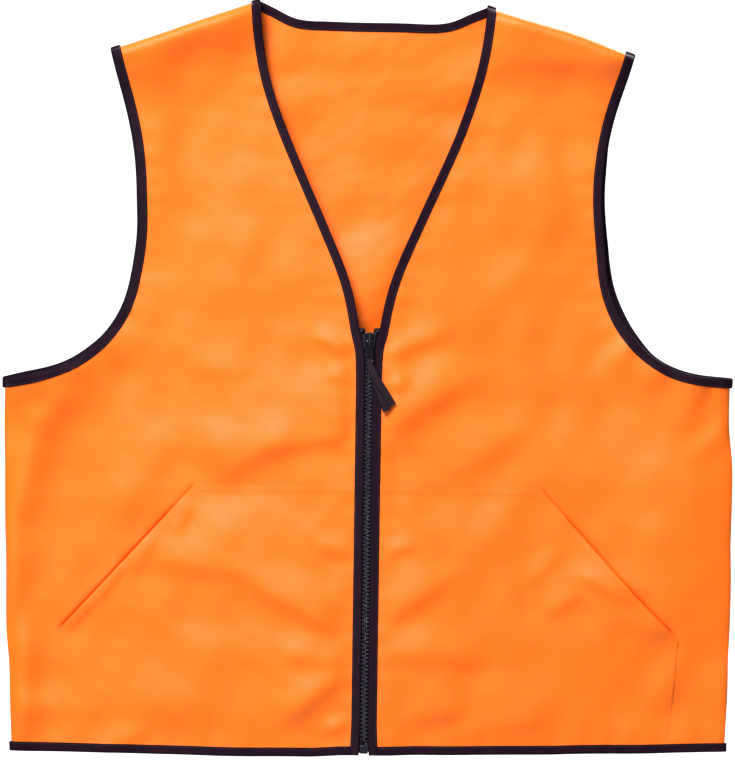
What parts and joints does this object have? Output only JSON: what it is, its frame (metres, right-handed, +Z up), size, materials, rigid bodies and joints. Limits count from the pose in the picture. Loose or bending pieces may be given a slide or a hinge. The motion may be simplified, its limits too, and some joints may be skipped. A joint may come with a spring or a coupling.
{
  "type": "zip-front field vest",
  "caption": "Sleeveless blaze orange vest with a V neck, front zip, bound edges and slanted hand pockets.",
  "frame": {"origin": "midway between the two neck points, at the top of the shoulders, where the vest hangs", "axes": "+X towards the wearer's left, +Y towards the back, +Z up"},
  "size_m": [0.6454, 0.0741, 0.6682],
  "materials": {
    "cloth": "blaze orange plain-weave polyester, soft sheen",
    "binding": "ribbed dark fold-over binding tape",
    "zip_tape": "woven dark zip tape",
    "zip_plastic": "moulded acetal, slightly glossy",
    "slider_metal": "black enamelled zinc",
    "pull_webbing": "ribbed dark tape, cut ends"
  },
  "bodies": {
    "back": {"back_panel": "cloth", "front_side_left": "cloth", "front_side_right": "cloth", "armhole_binding_left": "binding", "armhole_binding_right": "binding", "back_neck_binding": "binding", "back_hem_binding": "binding"},
    "front_left": {"front_panel_left": "cloth", "pocket_left": "cloth", "front_edge_binding_left": "binding", "front_hem_binding_left": "binding", "zip_tape_left": "zip_tape", "zip_teeth_left": "zip_plastic", "top_stop_left": "zip_plastic", "insertion_pin_left": "zip_plastic"},
    "front_right": {"front_panel_right": "cloth", "pocket_right": "cloth", "front_edge_binding_right": "binding", "front_hem_binding_right": "binding", "zip_tape_right": "zip_tape", "zip_teeth_right": "zip_plastic", "top_stop_right": "zip_plastic", "retainer_box": "zip_plastic"},
    "zip_slider": {"slider_body": "slider_metal"},
    "pull_tab": {"pull_tab": "slider_metal"},
    "pull_tape": {"pull_tape": "pull_webbing"}
  },
  "joints": [
    {"name": "front_left_open", "type": "hinge", "parent": "back", "child": "front_left", "pos_m": [0.1105, -0.0018, -0.00034], "axis": [-0.2971, 0, 0.9548], "range_deg": [0, 120]},
    {"name": "front_right_open", "type": "hinge", "parent": "back", "child": "front_right", "pos_m": [-0.1105, -0.0018, -0.00034], "axis": [-0.2971, 0, -0.9548], "range_deg": [0, 120]},
    {"name": "slider_travel", "type": "slide", "parent": "front_right", "child": "zip_slider", "axis": [0, -0.0284, -0.9996], "range_m": [0, 0.35], "deforming": ["zip_teeth_left", "zip_teeth_right"]},
    {"name": "pull_tab_swing", "type": "hinge", "parent": "zip_slider", "child": "pull_tab", "pos_m": [0, -0.02308, -0.29978], "axis": [-1, 0, 0], "range_deg": [0, 120]},
    {"name": "pull_tape_swing", "type": "hinge", "parent": "pull_tab", "child": "pull_tape", "pos_m": [0, -0.02357, -0.31693], "axis": [-1, 0, 0], "range_deg": [0, 60]}
  ]
}
